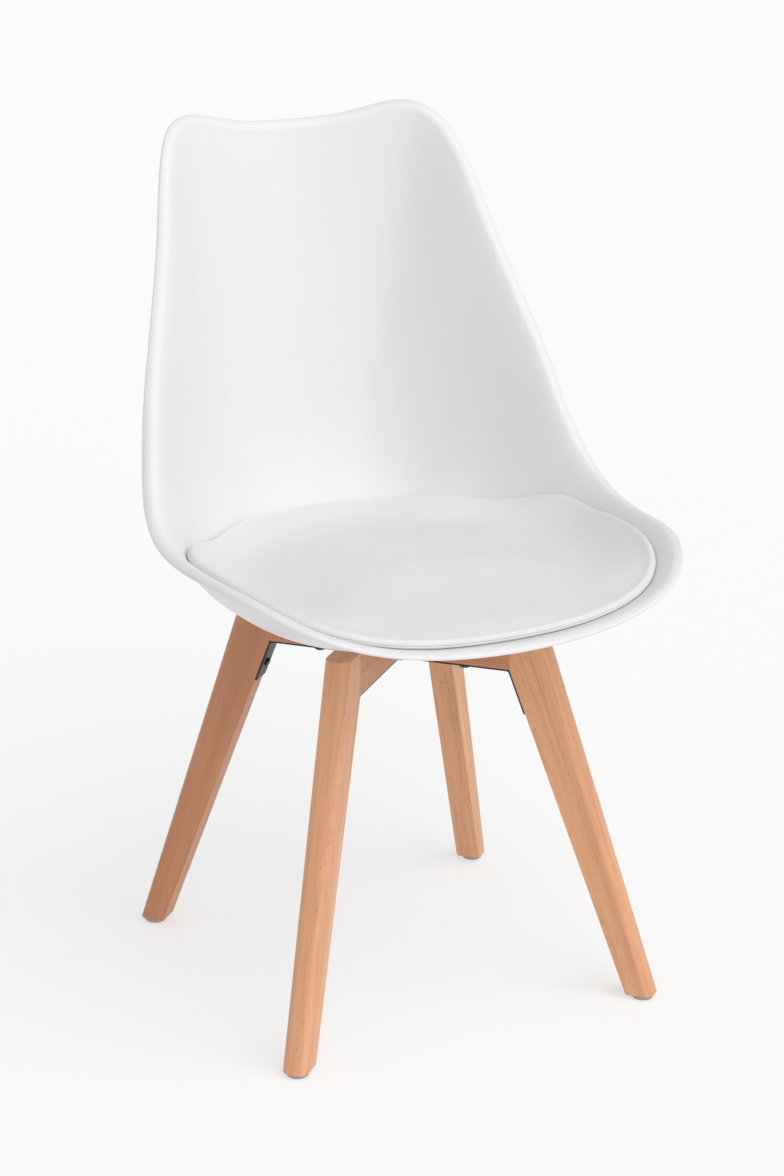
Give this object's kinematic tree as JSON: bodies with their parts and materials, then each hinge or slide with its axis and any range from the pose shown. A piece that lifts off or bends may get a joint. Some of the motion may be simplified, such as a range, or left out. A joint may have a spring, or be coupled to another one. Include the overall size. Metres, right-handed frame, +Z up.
{
  "type": "dining chair",
  "caption": "Dining chair with a moulded bucket seat shell, a padded artificial-leather seat and crossed splayed wooden leg frames.",
  "frame": {"origin": "on the floor, under the middle of the chair's bounding box", "axes": "+Z up; +X to the right seen from the front; the sitter faces -Y, so the seat's front lip is at -Y and the backrest at +Y"},
  "size_m": [0.4816, 0.5104, 0.8292],
  "materials": {
    "shell_plastic": "fine satin moulded polypropylene",
    "cushion_leather": "smooth artificial leather with a fine grain",
    "cushion_foam": "open-cell foam",
    "board_wood": "bare plywood",
    "beech": "clear satin lacquer on beech",
    "strap_steel": "black powder coat",
    "screw_steel": "black zinc",
    "insert_brass": "turned",
    "glide_plastic": "moulded"
  },
  "bodies": {
    "root": {"seat_shell": "shell_plastic", "cushion_cover": "cushion_leather", "cushion_foam": "cushion_foam", "cushion_board": "board_wood", "leg_front_left": "beech", "leg_front_right": "beech", "leg_rear_left": "beech", "leg_rear_right": "beech", "rail_front_left": "beech", "rail_front_right": "beech", "rail_dowels": "beech", "strap_front_left": "strap_steel", "strap_front_right": "strap_steel", "strap_screws": "screw_steel", "centre_screw": "screw_steel", "cushion_screws": "screw_steel", "frame_bolts": "screw_steel", "frame_washers": "screw_steel", "threaded_inserts": "insert_brass", "glide_front_left": "glide_plastic", "glide_front_right": "glide_plastic", "glide_rear_left": "glide_plastic", "glide_rear_right": "glide_plastic", "glide_nails": "screw_steel"}
  },
  "joints": []
}
